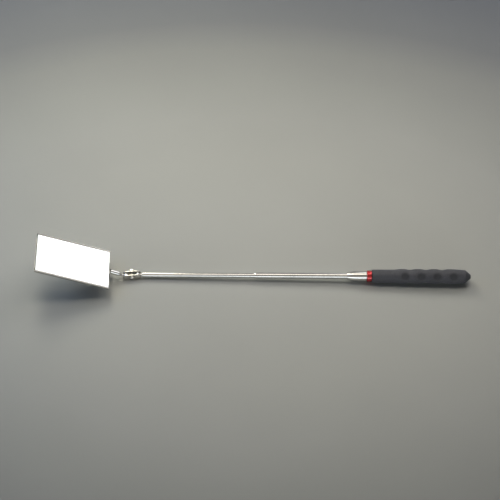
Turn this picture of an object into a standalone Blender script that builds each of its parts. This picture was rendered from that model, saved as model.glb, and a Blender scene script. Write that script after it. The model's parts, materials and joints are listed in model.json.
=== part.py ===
"""Telescoping inspection mirror: a rectangular mirror on a double-ball clamp and two sliding chrome tubes.

The tool lies along X with the mirror at -X and the grip at +X. The origin is the middle of the
bottom of its bounding box, so it stands on Z = 0. Each moving body hangs from an empty on its joint.
"""

import math

import bmesh
import bpy
from mathutils import Vector

MM = 0.001
GAP = 0.3 * MM                    # clearance between pieces that touch on the real tool

# Grip, ring and ferrule, measured along the tool from the grip's front face
GRIP_LENGTH = 115.8 * MM
GRIP_FRONT_RADIUS = 7.85 * MM
GRIP_CREST_RADIUS = 8.7 * MM
GRIP_FRONT_LENGTH = 25.0 * MM     # plain stretch ahead of the finger hollows
GRIP_SWELL_LENGTH = 9.5 * MM      # rise from the plain stretch to the crests
GRIP_WAIST_AT = 92.0 * MM         # behind this the grip draws in towards the shoulder
GRIP_SHOULDER_RADIUS = 7.9 * MM
GRIP_TIP_LENGTH = 6.6 * MM        # cone at the butt
GRIP_BUTT_RADIUS = 2.4 * MM       # flat at the very end
HOLLOW_PITCH = 18.8 * MM
HOLLOW_DEPTH = 1.0 * MM
HOLLOW_HALF_LENGTH = 7.4 * MM
HOLLOW_HALF_WIDTH = math.radians(44)
# rows of finger hollows: angle round the grip from +Y towards +Z, first hollow's place, how many
HOLLOW_ROWS = (
    (math.radians(130), 38.5 * MM, 4),
    (math.radians(40), 44.5 * MM, 3),
    (math.radians(310), 38.5 * MM, 4),
    (math.radians(220), 44.5 * MM, 3),
)
RING_LENGTH = 6.2 * MM
RING_RADIUS = 6.85 * MM
FERRULE_CYLINDER = 14.9 * MM
FERRULE_CONE = 8.2 * MM
FERRULE_RADIUS = 6.1 * MM
FERRULE_NOSE_RADIUS = 4.5 * MM

# Tubes: outside radius and wall, and how far each stands out of the one behind it
INNER_RADIUS = 3.05 * MM
INNER_WALL = 0.35 * MM
MID_RADIUS = 3.65 * MM
MID_WALL = 0.32 * MM
OUTER_RADIUS = 4.3 * MM
OUTER_WALL = 0.35 * MM
MID_OUT = 109.3 * MM
INNER_OUT = 131.3 * MM
MID_LENGTH = 134.0 * MM
INNER_LENGTH = 142.0 * MM
SWAGE = 2.2 * MM                  # length over which a tube's mouth is drawn in
OUTER_END = 110.1 * MM             # tail of the outer tube, behind the grip's front face

# Tail plugs and the spring clips that ride on their necks
CLIP_LENGTH = 7.0 * MM
CLIP_SLIT = math.radians(50)
PLUG_DEPTH = 4.0 * MM
PLUG_HEAD = 1.3 * MM

# Double-ball clamp
BALL_RADIUS = 2.9 * MM
BALL_SPACING = 13.7 * MM
BALL_STAND_OFF = 5.3 * MM         # shaft ball's centre ahead of the inner tube's end
STUD_INSET = 1.5 * MM             # the stud's shoulder sits this far inside the tube
NECK_RADIUS = 1.3 * MM
PLATE_GAP_HALF = 2.4 * MM
PLATE_THICKNESS = 1.0 * MM
PLATE_END_RADIUS = 4.0 * MM
POCKET_RADIUS = BALL_RADIUS + GAP
DIMPLE_RADIUS = POCKET_RADIUS + 0.9 * MM
SCREW_RADIUS = 1.45 * MM
SCREW_HEAD_RADIUS = 2.7 * MM
SCREW_HEAD_HEIGHT = 2.2 * MM
SLOT_WIDTH = 0.7 * MM
SLOT_DEPTH = 1.0 * MM
WASHER_RADIUS = 2.9 * MM
WASHER_THICKNESS = 0.7 * MM
NUT_ACROSS_FLATS = 6.4 * MM
NUT_HEIGHT = 1.8 * MM
SCREW_TIP = 0.4 * MM              # thread showing past the nut
CLAMP_YAW = math.radians(6.0)     # the clamp's mirror end stands a little nearer the front

# Mirror head
STEM_RADIUS = 2.85 * MM
STEM_START = 6.3 * MM             # from the mirror ball's centre
STEM_FULL = 9.6 * MM              # where the stem's taper reaches its full radius
STEM_BEND_AT = 21.0 * MM          # where the flat tongue turns away from the rod's axis
STEM_ROUND_TO = -1.6 * MM         # end of the round rod and start of the tongue, from the bend
TONGUE_FROM = -0.1 * MM
STEM_PITCH = math.radians(25.2)
STEM_YAW = math.radians(-2.1)
TONGUE_BEND = math.radians(1.7)   # the tongue lies this much flatter than the rod
TONGUE_HALF_WIDTH = 3.2 * MM
TONGUE_TOP = -0.5 * MM            # heights in the mirror head are above the rod's axis
TONGUE_THICKNESS = 1.2 * MM
TONGUE_LENGTH = 24.0 * MM
SHEET = 0.4 * MM                  # thickness of the tray's steel
TRAY_BACK = -0.25 * MM
FIT = 0.25 * MM                   # clearance between the layers of the mirror head
PAD_THICKNESS = 0.3 * MM
GLASS_THICKNESS = 1.6 * MM
GLASS_LENGTH = 88.0 * MM
GLASS_VISIBLE_WIDTH = 53.5 * MM
LIP = 0.8 * MM                    # how far each long edge folds over the glass
GLASS_START = 1.1 * MM            # glass edge past the bend
END_TAB_WIDTH = 14.0 * MM
END_TAB_OUT = 17.0 * MM           # middle of each end tab from the centre line
BRACKET_LENGTH = 18.0 * MM
BRACKET_SHEET = 0.8 * MM
BRACKET_FLANGE = 5.4 * MM
RIVET_RADIUS = 1.0 * MM
RIVET_HEAD_RADIUS = 1.8 * MM
RIVET_HEAD_HEIGHT = 0.8 * MM
RIVET_SPACING = 10.0 * MM

TURNED_SIDES = 32
SMALL_SIDES = 20

# colour, roughness, metallic
FINISHES = {
    "rubber": ((0.02, 0.02, 0.024), 0.75, 0.0),
    "red": ((0.42, 0.012, 0.02), 0.25, 0.0),
    "chrome": ((0.62, 0.61, 0.6), 0.12, 1.0),
    "steel": ((0.5, 0.49, 0.47), 0.3, 1.0),
    "bronze": ((0.55, 0.36, 0.16), 0.35, 1.0),
    "pad": ((0.08, 0.08, 0.08), 0.9, 0.0),
    "mirror": ((0.9, 0.91, 0.92), 0.02, 1.0),
}


def clear_scene():
    for obj in list(bpy.data.objects):
        bpy.data.objects.remove(obj, do_unlink=True)


def material_for(name, finish):
    colour, roughness, metallic = FINISHES[finish]
    material = bpy.data.materials.new(name)
    material.use_nodes = True
    shader = material.node_tree.nodes["Principled BSDF"]
    shader.inputs["Base Color"].default_value = (*colour, 1.0)
    shader.inputs["Roughness"].default_value = roughness
    shader.inputs["Metallic"].default_value = metallic
    return material


def add_object(name, mesh_builder, parent, finish, sharp_degrees=35.0):
    """Makes an object from a filled bmesh, with its faces pointing out and its own material."""
    bmesh.ops.recalc_face_normals(mesh_builder, faces=mesh_builder.faces)
    mesh = bpy.data.meshes.new(name)
    mesh_builder.to_mesh(mesh)
    mesh_builder.free()
    mesh.shade_smooth()
    mesh.set_sharp_from_angle(angle=math.radians(sharp_degrees))
    obj = bpy.data.objects.new(name, mesh)
    bpy.context.collection.objects.link(obj)
    obj.parent = parent
    if finish:
        mesh.materials.append(material_for(name, finish))
    else:
        obj.hide_render = True
        obj.display_type = "WIRE"
    return obj


def joint_empty(name, parent, location=(0, 0, 0), rotation=(0, 0, 0)):
    empty = bpy.data.objects.new(name, None)
    bpy.context.collection.objects.link(empty)
    empty.empty_display_size = 10 * MM
    empty.parent = parent
    empty.location = location
    empty.rotation_euler = rotation
    return empty


def bridge(builder, ring_a, ring_b):
    """Faces between two rings of one size, or between a ring and a single pole vertex."""
    count = max(len(ring_a), len(ring_b))
    for k in range(count):
        n = (k + 1) % count
        corners = []
        for ring, order in ((ring_a, (k, n)), (ring_b, (n, k))):
            corners += [ring[0]] if len(ring) == 1 else [ring[i] for i in order]
        builder.faces.new(corners)


def turned(name, outline, parent, finish, sides=TURNED_SIDES, bored=False, stretch=None):
    """Solid of revolution about local X from (x, radius) points; radius 0 is a pole.

    A bored piece's outline runs right round its section. stretch(x, angle, radius) may shape a ring.
    """
    builder = bmesh.new()
    rings = []
    for x, radius in outline:
        if radius <= 0:
            rings.append([builder.verts.new((x, 0, 0))])
            continue
        ring = []
        for k in range(sides):
            angle = math.tau * k / sides
            r = stretch(x, angle, radius) if stretch else radius
            ring.append(builder.verts.new((x, r * math.cos(angle), r * math.sin(angle))))
        rings.append(ring)
    following = rings[1:] + rings[:1] if bored else rings[1:]
    for ring_a, ring_b in zip(rings, following):
        bridge(builder, ring_a, ring_b)
    return add_object(name, builder, parent, finish)


def arc(centre_x, radius, start, stop, steps):
    """Points (x, radius) of an arc about (centre_x, 0), angles measured from +X."""
    points = []
    for k in range(steps + 1):
        angle = start + (stop - start) * k / steps
        points.append((centre_x + radius * math.cos(angle), radius * math.sin(angle)))
    points = [(x, 0.0 if abs(r) < 1e-9 else r) for x, r in points]
    return points


def extruded(name, outline, low, high, parent, finish, axes="xzy"):
    """Prism over a closed outline; axes says where its two outline axes and its length axis go."""
    builder = bmesh.new()
    places = ["xyz".index(letter) for letter in axes]
    rings = []
    for depth in (low, high):
        ring = []
        for u, v in outline:
            point = [0.0, 0.0, 0.0]
            for place, value in zip(places, (u, v, depth)):
                point[place] = value
            ring.append(builder.verts.new(point))
        rings.append(ring)
    bridge(builder, *rings)
    builder.faces.new(rings[0])
    builder.faces.new(rings[1])
    return add_object(name, builder, parent, finish)


def box(name, low, high, parent, finish):
    outline = [(low[0], low[1]), (high[0], low[1]), (high[0], high[1]), (low[0], high[1])]
    return extruded(name, outline, low[2], high[2], parent, finish, axes="xyz")


def boolean(obj, other, operation):
    modifier = obj.modifiers.new(f"{operation.lower()} {other.name}", "BOOLEAN")
    modifier.operation = operation
    modifier.solver = "EXACT"
    modifier.object = other


def split_sleeve(name, inner, outer, length, slit, parent, finish, sides=28):
    """A thin sleeve along local X with a slit in it, so that it can spring."""
    builder = bmesh.new()
    sections = []
    for k in range(sides + 1):
        angle = slit / 2 + (math.tau - slit) * k / sides
        across = (math.cos(angle), math.sin(angle))
        section = []
        for x, radius in ((0, inner), (length, inner), (length, outer), (0, outer)):
            section.append(builder.verts.new((x, radius * across[0], radius * across[1])))
        sections.append(section)
    for section_a, section_b in zip(sections, sections[1:]):
        bridge(builder, section_a, section_b)
    builder.faces.new(sections[0])
    builder.faces.new(sections[-1])
    return add_object(name, builder, parent, finish)


# ---------------------------------------------------------------- handle

def ease(t):
    """0 to 1 with a smooth start and end."""
    t = min(1.0, max(0.0, t))
    return t * t * (3 - 2 * t)


def grip_radius(x):
    """Radius of the grip's plain turned form at x past its front face."""
    shoulder = GRIP_LENGTH - GRIP_TIP_LENGTH
    swell = ease((x - GRIP_FRONT_LENGTH) / GRIP_SWELL_LENGTH)
    waist = ease((x - GRIP_WAIST_AT) / (shoulder - GRIP_WAIST_AT))
    radius = GRIP_FRONT_RADIUS + (GRIP_CREST_RADIUS - GRIP_FRONT_RADIUS) * swell
    return radius + (GRIP_SHOULDER_RADIUS - GRIP_CREST_RADIUS) * waist


def finger_hollows(x, angle, radius):
    """The grip's radius with its four staggered rows of oval finger hollows pressed in."""
    depth = 0.0
    for row_angle, first, count in HOLLOW_ROWS:
        around = math.remainder(angle - row_angle, math.tau) / HOLLOW_HALF_WIDTH
        for k in range(count):
            reach = math.hypot((x - first - k * HOLLOW_PITCH) / HOLLOW_HALF_LENGTH, around)
            if reach < 1.0:
                depth += HOLLOW_DEPTH * (0.5 + 0.5 * math.cos(math.pi * reach))
    return radius - depth


def make_handle(handle):
    bore = OUTER_RADIUS + GAP
    grip_stations = 44
    shoulder = GRIP_LENGTH - GRIP_TIP_LENGTH
    outline = [(0.0, bore), (0.0, GRIP_FRONT_RADIUS - 0.6 * MM), (0.6 * MM, GRIP_FRONT_RADIUS)]
    start = GRIP_FRONT_LENGTH
    for k in range(grip_stations + 1):
        x = start + (shoulder - start) * k / grip_stations
        outline.append((x, grip_radius(x)))
    outline += [(GRIP_LENGTH, GRIP_BUTT_RADIUS), (GRIP_LENGTH, 0.0)]
    bore_end = OUTER_END + 2.2 * MM
    hollowed = [(bore_end, 0.0), (bore_end, bore)]
    turned("grip", hollowed + outline, handle, "rubber", sides=36, stretch=lambda x, angle, r: (
        finger_hollows(x, angle, r) if r > bore + MM else r))

    ring_back = -GAP
    ring_front = ring_back - RING_LENGTH + GAP
    edge = 0.8 * MM
    turned("red_ring", [
        (ring_front, bore), (ring_front, RING_RADIUS - edge), (ring_front + edge, RING_RADIUS),
        (ring_back - edge, RING_RADIUS), (ring_back, RING_RADIUS - edge), (ring_back, bore),
    ], handle, "red", bored=True)

    ferrule_back = ring_front - GAP
    ferrule_cone = -RING_LENGTH - FERRULE_CYLINDER
    nose = ferrule_cone - FERRULE_CONE
    seat = nose + 2.4 * MM
    nose_bore = MID_RADIUS + GAP
    turned("ferrule", [
        (nose, nose_bore), (nose, FERRULE_NOSE_RADIUS), (ferrule_cone, FERRULE_RADIUS),
        (ferrule_back, FERRULE_RADIUS), (ferrule_back, bore), (seat, bore), (seat, nose_bore),
    ], handle, "chrome", bored=True)

    tube_front = seat + GAP
    tube_bore = OUTER_RADIUS - OUTER_WALL
    turned("outer_tube", [
        (tube_front, tube_bore), (tube_front, OUTER_RADIUS),
        (OUTER_END, OUTER_RADIUS), (OUTER_END, tube_bore),
    ], handle, "chrome", bored=True)
    turned("tail_plug", [
        (OUTER_END - PLUG_DEPTH, 0.0), (OUTER_END - PLUG_DEPTH, tube_bore - GAP),
        (OUTER_END + GAP, tube_bore - GAP), (OUTER_END + GAP, OUTER_RADIUS),
        (OUTER_END + PLUG_HEAD, OUTER_RADIUS), (OUTER_END + PLUG_HEAD, 0.0),
    ], handle, "bronze")
    return nose


# ---------------------------------------------------------------- telescoping tubes

def make_tail(name, clip_name, tail_empty, clip_empty, tube_radius, wall, next_bore):
    """A tail plug with a neck and head behind the tube, and the spring clip round the neck.

    Both empties stand at the tube's tail end, on the tool's axis.
    """
    inside = tube_radius - wall - GAP
    clip_outer = next_bore - GAP
    clip_inner = clip_outer - 0.6 * MM
    neck = clip_inner - GAP
    head_start = CLIP_LENGTH + 2 * GAP + GAP
    turned(name, [
        (-PLUG_DEPTH, 0.0), (-PLUG_DEPTH, inside), (GAP, inside), (GAP, neck),
        (head_start, neck), (head_start, clip_outer), (head_start + PLUG_HEAD, clip_outer),
        (head_start + PLUG_HEAD, 0.0),
    ], tail_empty, "bronze", sides=24)
    sleeve = split_sleeve(clip_name, clip_inner, clip_outer, CLIP_LENGTH, CLIP_SLIT,
                          clip_empty, "bronze")
    sleeve.location.x = 2 * GAP


def make_tube(name, front_empty, length, radius, wall, mouth_radius):
    """A drawn tube along local X from its front end; the mouth is swaged in to mouth_radius."""
    bore = radius - wall
    turned(name, [
        (0.0, mouth_radius), (0.0, radius - 0.4 * MM), (0.3 * MM, radius - 0.3 * MM),
        (SWAGE, radius), (length, radius), (length, bore), (SWAGE, bore), (0.5 * MM, mouth_radius),
    ], front_empty, "chrome", bored=True)


# ---------------------------------------------------------------- clamp

def stadium(spacing, radius, steps=14):
    """Outline of a plate with round ends about x = 0 and x = spacing."""
    points = []
    for centre, first in ((spacing, -math.pi / 2), (0.0, math.pi / 2)):
        for k in range(steps + 1):
            angle = first + math.pi * k / steps
            points.append((centre + radius * math.cos(angle), radius * math.sin(angle)))
    return points


def make_plate(name, side, clamp):
    """One clamp plate; side is +1 for the front (-Y world) plate. Its long axis is local X."""
    near, far = PLATE_GAP_HALF, PLATE_GAP_HALF + PLATE_THICKNESS
    low, high = sorted((side * near, side * far))
    plate = extruded(name, stadium(BALL_SPACING, PLATE_END_RADIUS), low, high, clamp, "steel")
    outward = joint_empty(f"{name} outward", clamp, rotation=(0, 0, side * math.pi / 2))
    for label, place in (("shaft", 0.0), ("mirror", BALL_SPACING)):
        seat = near + 0.4 * MM
        start = math.acos(seat / DIMPLE_RADIUS)
        dimple = turned(f"{name} {label} dimple", [(seat, 0.0)] + arc(0, DIMPLE_RADIUS, start, 0, 6),
                        outward, None, sides=24)
        start = math.acos((near - 0.5 * MM) / POCKET_RADIUS)
        pocket = turned(f"{name} {label} pocket",
                        [(near - 0.5 * MM, 0.0)] + arc(0, POCKET_RADIUS, start, 0, 6),
                        outward, None, sides=24)
        for cutter, operation in ((dimple, "UNION"), (pocket, "DIFFERENCE")):
            cutter.location.y = -side * place
            boolean(plate, cutter, operation)
    hole = turned(f"{name} screw hole", [
        (near - MM, 0.0), (near - MM, SCREW_RADIUS + GAP), (far + MM, SCREW_RADIUS + GAP),
        (far + MM, 0.0)], outward, None, sides=SMALL_SIDES)
    hole.location.y = -side * BALL_SPACING / 2
    boolean(plate, hole, "DIFFERENCE")
    return plate


def make_clamp(clamp):
    make_plate("clamp_plate_front", 1, clamp)
    make_plate("clamp_plate_rear", -1, clamp)

    outer_face = PLATE_GAP_HALF + PLATE_THICKNESS
    screw_empty = joint_empty("screw axis", clamp, (BALL_SPACING / 2, 0, 0), (0, 0, math.pi / 2))
    under_head = outer_face + GAP
    washer_face = -outer_face - GAP
    nut_face = washer_face - WASHER_THICKNESS - GAP
    tip = nut_face - NUT_HEIGHT - SCREW_TIP
    dome = [(under_head + SCREW_HEAD_HEIGHT * math.sin(a), SCREW_HEAD_RADIUS * math.cos(a))
            for a in (math.pi / 2 * k / 5 for k in range(5))]
    screw = turned("clamp_screw", [
        (tip, 0.0), (tip, SCREW_RADIUS - 0.3 * MM), (tip + 0.3 * MM, SCREW_RADIUS),
        (under_head, SCREW_RADIUS), *dome, (under_head + SCREW_HEAD_HEIGHT, 0.0),
    ], screw_empty, "steel", sides=SMALL_SIDES)
    slot_floor = under_head + SCREW_HEAD_HEIGHT - SLOT_DEPTH
    slot = box("screw slot", (slot_floor, -4 * MM, -SLOT_WIDTH / 2),
               (slot_floor + 3 * MM, 4 * MM, SLOT_WIDTH / 2), screw_empty, None)
    slot.rotation_euler.x = math.radians(9)
    boolean(screw, slot, "DIFFERENCE")

    washer = split_sleeve("clamp_spring_washer", SCREW_RADIUS + GAP, WASHER_RADIUS,
                          WASHER_THICKNESS, math.radians(14), screw_empty, "steel", sides=20)
    washer.location.x = washer_face - WASHER_THICKNESS

    corner = NUT_ACROSS_FLATS / math.sqrt(3)
    hexagon = [(corner * math.cos(math.pi / 3 * k), corner * math.sin(math.pi / 3 * k)) for k in range(6)]
    nut = extruded("clamp_nut", hexagon, nut_face - NUT_HEIGHT, nut_face, screw_empty, "steel", axes="yzx")
    thread = turned("nut thread hole", [
        (nut_face - NUT_HEIGHT - MM, 0.0), (nut_face - NUT_HEIGHT - MM, SCREW_RADIUS + GAP),
        (nut_face + MM, SCREW_RADIUS + GAP), (nut_face + MM, 0.0)],
        screw_empty, None, sides=SMALL_SIDES)
    boolean(nut, thread, "DIFFERENCE")


# ---------------------------------------------------------------- ball studs

def make_ball_stud(name, parent, neck_to, shoulder_radius, shoulder_to):
    """A ball about the local origin with a neck along local X and a shoulder on its far end."""
    neck_start = math.asin(NECK_RADIUS / BALL_RADIUS)
    turned(name, arc(0, BALL_RADIUS, math.pi, neck_start, 12) + [
        (neck_to, NECK_RADIUS), (neck_to, shoulder_radius), (shoulder_to, shoulder_radius),
        (shoulder_to, 0.0)], parent, "chrome", sides=24)


# ---------------------------------------------------------------- mirror head

def make_stem(head):
    """Round rod with a tapered start, pressed at its far end into a flat tongue set low."""
    builder = bmesh.new()
    tongue_mid = TONGUE_TOP - TONGUE_THICKNESS / 2
    half = TONGUE_THICKNESS / 2
    # distance past the bend, centre height, half width, half height, squareness
    stations = [
        (STEM_START - STEM_BEND_AT, 0.0, 1.7 * MM, 1.7 * MM, 2.0),
        (STEM_FULL - STEM_BEND_AT, 0.0, STEM_RADIUS, STEM_RADIUS, 2.0),
        (STEM_ROUND_TO, 0.0, STEM_RADIUS, STEM_RADIUS, 2.0),
        (TONGUE_FROM, tongue_mid, TONGUE_HALF_WIDTH, half, 3.5),
        (TONGUE_LENGTH - 1.5 * MM, tongue_mid, TONGUE_HALF_WIDTH, half, 3.5),
        (TONGUE_LENGTH, tongue_mid, TONGUE_HALF_WIDTH - MM, half, 3.5),
    ]
    rings = []
    for x, height, half_width, half_height, squareness in stations:
        ring = []
        for k in range(24):
            angle = math.tau * k / 24
            across, up = math.cos(angle), math.sin(angle)
            y = half_width * math.copysign(abs(across) ** (2 / squareness), across)
            z = height + half_height * math.copysign(abs(up) ** (2 / squareness), up)
            bend = TONGUE_BEND if x > 0 else 0.0
            point = Vector((x * math.cos(bend) + z * math.sin(bend), y,
                            z * math.cos(bend) - x * math.sin(bend)))
            ring.append(builder.verts.new(point + Vector((STEM_BEND_AT, 0, 0))))
        rings.append(ring)
    for ring_a, ring_b in zip(rings, rings[1:]):
        bridge(builder, ring_a, ring_b)
    builder.faces.new(rings[0])
    builder.faces.new(rings[-1])
    add_object("stem", builder, head, "chrome")


def make_mirror_head(head):
    make_stem(head)
    plate = joint_empty("mirror plate", head, (STEM_BEND_AT, 0, 0), (0, TONGUE_BEND, 0))
    start, end = GLASS_START, GLASS_START + GLASS_LENGTH
    half_width = GLASS_VISIBLE_WIDTH / 2 + LIP
    pad_bottom = TRAY_BACK + SHEET + FIT
    glass_bottom = pad_bottom + PAD_THICKNESS + FIT
    glass_top = glass_bottom + GLASS_THICKNESS
    lip_bottom = glass_top + FIT
    lip_top = lip_bottom + SHEET

    wall = half_width + FIT
    lip_edge = GLASS_VISIBLE_WIDTH / 2
    channel = []
    for side in (1, -1):
        right_half = [(lip_edge, lip_bottom), (lip_edge, lip_top), (wall, lip_top),
                      (wall + SHEET, lip_top - SHEET), (wall + SHEET, TRAY_BACK + SHEET), (wall, TRAY_BACK)]
        left_half = [(wall - SHEET, TRAY_BACK + SHEET), (wall, TRAY_BACK + 2 * SHEET), (wall, lip_bottom)]
        if side > 0:
            channel += [(w, h) for w, h in left_half + right_half]
        else:
            channel += [(-w, h) for w, h in reversed(left_half + right_half)]
    tray = extruded("mirror_frame", channel, start - FIT - SHEET, end + FIT + SHEET,
                    plate, "steel", axes="yzx")
    tab_top = glass_bottom + 0.9 * MM
    for end_name, low in (("near", start - FIT - SHEET + 0.05 * MM), ("far", end + FIT + 0.05 * MM)):
        for side_name, middle in (("front", END_TAB_OUT), ("rear", -END_TAB_OUT)):
            tab = box(f"{end_name} {side_name} tab",
                      (low, middle - END_TAB_WIDTH / 2, TRAY_BACK + 0.1 * MM),
                      (low + SHEET - 0.1 * MM, middle + END_TAB_WIDTH / 2, tab_top), plate, None)
            boolean(tray, tab, "UNION")

    box("backing_pad", (start + MM, -half_width + MM, pad_bottom),
        (end - MM, half_width - MM, pad_bottom + PAD_THICKNESS), plate, "pad")
    box("mirror_glass", (start, -half_width, glass_bottom), (end, half_width, glass_top), plate, "mirror")

    make_bracket(plate, tray)


def make_bracket(plate, tray):
    """Hat-section strap over the stem's tongue, riveted to the tray's back."""
    flange_top = TRAY_BACK - FIT
    flange_bottom = flange_top - BRACKET_SHEET
    crown_top = TONGUE_TOP - TONGUE_THICKNESS - FIT
    crown_bottom = crown_top - BRACKET_SHEET
    inner = TONGUE_HALF_WIDTH + GAP
    outer = inner + BRACKET_SHEET
    reach = outer + BRACKET_FLANGE
    half = [(reach, flange_top), (inner, flange_top), (inner, crown_top)]
    under = [(outer, crown_bottom), (outer, flange_bottom), (reach, flange_bottom)]
    hat = half + [(-w, h) for w, h in reversed(half)]
    hat += [(-w, h) for w, h in reversed(under)] + under
    middle = TONGUE_LENGTH / 2 + 2 * MM
    low, high = middle - BRACKET_LENGTH / 2, middle + BRACKET_LENGTH / 2
    bracket = extruded("stem_bracket", hat, low, high, plate, "steel", axes="yzx")
    place = outer + BRACKET_FLANGE / 2
    spots = [(middle + along * RIVET_SPACING / 2, across * place) for across in (-1, 1) for along in (-1, 1)]
    for number, (x, y) in enumerate(spots, 1):
        down = joint_empty(f"rivet {number} axis", plate, (x, y, 0), (0, math.pi / 2, 0))
        hole_radius = RIVET_RADIUS + GAP
        hole = turned(f"rivet hole {number}", [
            (-SHEET - MM, 0.0), (-SHEET - MM, hole_radius), (2.5 * MM, hole_radius), (2.5 * MM, 0.0)],
            down, None, sides=16)
        boolean(bracket, hole, "DIFFERENCE")
        boolean(tray, hole, "DIFFERENCE")
        head_top = -flange_bottom + GAP / 2
        dome = [(head_top + RIVET_HEAD_HEIGHT * math.sin(a), RIVET_HEAD_RADIUS * math.cos(a))
                for a in (math.pi / 2 * k / 3 for k in range(3))]
        turned(f"bracket_rivet_{number}", [
            (-TRAY_BACK - SHEET, 0.0), (-TRAY_BACK - SHEET, RIVET_RADIUS), (head_top, RIVET_RADIUS),
            *dome, (head_top + RIVET_HEAD_HEIGHT, 0.0)], down, "steel", sides=16)


# ---------------------------------------------------------------- assembly

def place_on_origin(tool):
    """Moves the whole tool so that the middle of its box's bottom is the origin."""
    bpy.context.view_layer.update()
    graph = bpy.context.evaluated_depsgraph_get()
    low, high = Vector((1, 1, 1)), Vector((-1, -1, -1))
    for obj in bpy.data.objects:
        if obj.type != "MESH" or obj.hide_render:
            continue
        evaluated = obj.evaluated_get(graph)
        for vertex in evaluated.data.vertices:
            point = evaluated.matrix_world @ vertex.co
            for k in range(3):
                low[k] = min(low[k], point[k])
                high[k] = max(high[k], point[k])
    tool.location = (-(low.x + high.x) / 2, -(low.y + high.y) / 2, -low.z)
    bpy.context.view_layer.update()


def main():
    clear_scene()
    handle = joint_empty("handle body", None)
    nose = make_handle(handle)

    mid_front = nose - MID_OUT
    mid_tail = mid_front + MID_LENGTH
    inner_front = mid_front - INNER_OUT
    inner_tail = inner_front + INNER_LENGTH
    mid_bore = MID_RADIUS - MID_WALL

    mid_clip = joint_empty("mid slide", handle, (mid_tail, 0, 0))
    mid_section = joint_empty("mid turn", mid_clip)
    mid_mouth = joint_empty("mid mouth", mid_section, (-MID_LENGTH, 0, 0))
    make_tube("mid_tube", mid_mouth, MID_LENGTH, MID_RADIUS, MID_WALL, INNER_RADIUS + 0.17 * MM)
    make_tail("mid_tail_plug", "mid_spring_clip", mid_section, mid_clip,
              MID_RADIUS, MID_WALL, OUTER_RADIUS - OUTER_WALL)

    inner_clip = joint_empty("inner slide", mid_section, (inner_tail - mid_tail, 0, 0))
    inner_section = joint_empty("inner turn", inner_clip)
    inner_mouth = joint_empty("inner mouth", inner_section, (-INNER_LENGTH, 0, 0))
    inner_bore = INNER_RADIUS - INNER_WALL
    make_tube("inner_tube", inner_mouth, INNER_LENGTH, INNER_RADIUS, INNER_WALL, inner_bore - 0.3 * MM)
    make_tail("inner_tail_plug", "inner_spring_clip", inner_section, inner_clip,
              INNER_RADIUS, INNER_WALL, mid_bore)
    shaft_ball = joint_empty("shaft ball", inner_mouth, (-BALL_STAND_OFF, 0, 0))
    make_ball_stud("shaft_ball_stud", shaft_ball, BALL_STAND_OFF + STUD_INSET,
                   inner_bore - GAP, BALL_STAND_OFF + 7 * MM)

    clamp = joint_empty("shaft ball swing", shaft_ball, rotation=(0, 0, math.pi + CLAMP_YAW))
    make_clamp(clamp)

    stud = joint_empty("mirror ball swing", clamp, (BALL_SPACING, 0, 0),
                       (0, -STEM_PITCH, -STEM_YAW - CLAMP_YAW))
    make_ball_stud("mirror_ball_stud", stud, STEM_START - GAP - 0.6 * MM, 1.7 * MM, STEM_START - GAP)
    head = joint_empty("stem twist", stud)
    make_mirror_head(head)
    place_on_origin(handle)


main()
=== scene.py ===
"""Looks of the telescoping inspection mirror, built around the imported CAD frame.

Every piece is made in its own working frame (the tool's axis, the clamp, the stem or the mirror
plate), placed by the frame's joints, and rides on the CAD body that it belongs to.
"""
import json
import math

import bmesh
import bpy
from mathutils import Matrix, Vector
from mathutils.geometry import delaunay_2d_cdt


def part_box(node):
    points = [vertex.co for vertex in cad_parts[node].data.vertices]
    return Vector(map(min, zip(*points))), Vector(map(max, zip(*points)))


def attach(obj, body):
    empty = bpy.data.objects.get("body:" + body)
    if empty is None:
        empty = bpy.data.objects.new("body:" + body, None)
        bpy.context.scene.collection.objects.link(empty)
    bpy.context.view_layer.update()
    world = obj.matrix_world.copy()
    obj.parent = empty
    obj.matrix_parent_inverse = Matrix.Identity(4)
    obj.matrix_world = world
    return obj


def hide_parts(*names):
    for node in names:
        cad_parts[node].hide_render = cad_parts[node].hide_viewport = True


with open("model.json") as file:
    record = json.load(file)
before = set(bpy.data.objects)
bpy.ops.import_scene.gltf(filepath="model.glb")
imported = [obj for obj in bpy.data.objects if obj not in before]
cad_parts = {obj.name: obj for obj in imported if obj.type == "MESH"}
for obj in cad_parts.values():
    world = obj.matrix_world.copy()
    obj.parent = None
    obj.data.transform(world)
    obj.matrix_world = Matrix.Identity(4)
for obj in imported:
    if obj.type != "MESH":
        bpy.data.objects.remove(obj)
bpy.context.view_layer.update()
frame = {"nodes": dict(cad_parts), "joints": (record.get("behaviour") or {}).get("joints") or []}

MM = 0.001
GAP = 0.3 * MM
JOINTS = {joint["name"]: joint for joint in frame["joints"]}


# ---- working frames

def joint_point(name):
    return Vector(JOINTS[name]["pos_m"])


def joint_axis(name):
    return Vector(JOINTS[name]["axis"]).normalized()


def working_frame(origin, x_axis, y_axis):
    """Matrix of a frame from its origin, its X axis and roughly its Y axis."""
    x_axis = x_axis.normalized()
    z_axis = x_axis.cross(y_axis).normalized()
    rotation = Matrix((x_axis, z_axis.cross(x_axis), z_axis)).transposed()
    return Matrix.Translation(origin) @ rotation.to_4x4()


def box_size(node):
    low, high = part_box(node)
    return high - low


axis_point = joint_point("mid_turn")


def on_axis(x):
    """Frame on the tool's axis at x, with the row frame's directions."""
    return Matrix.Translation((x, axis_point.y, axis_point.z))


GRIP_FRAME = on_axis(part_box("grip")[0].x)
RING_FRAME = on_axis(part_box("red_ring")[0].x)
FERRULE_FRAME = on_axis(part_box("ferrule")[0].x)
MID_FRAME = on_axis(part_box("mid_tube")[0].x)
INNER_FRAME = on_axis(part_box("inner_tube")[0].x)

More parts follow.
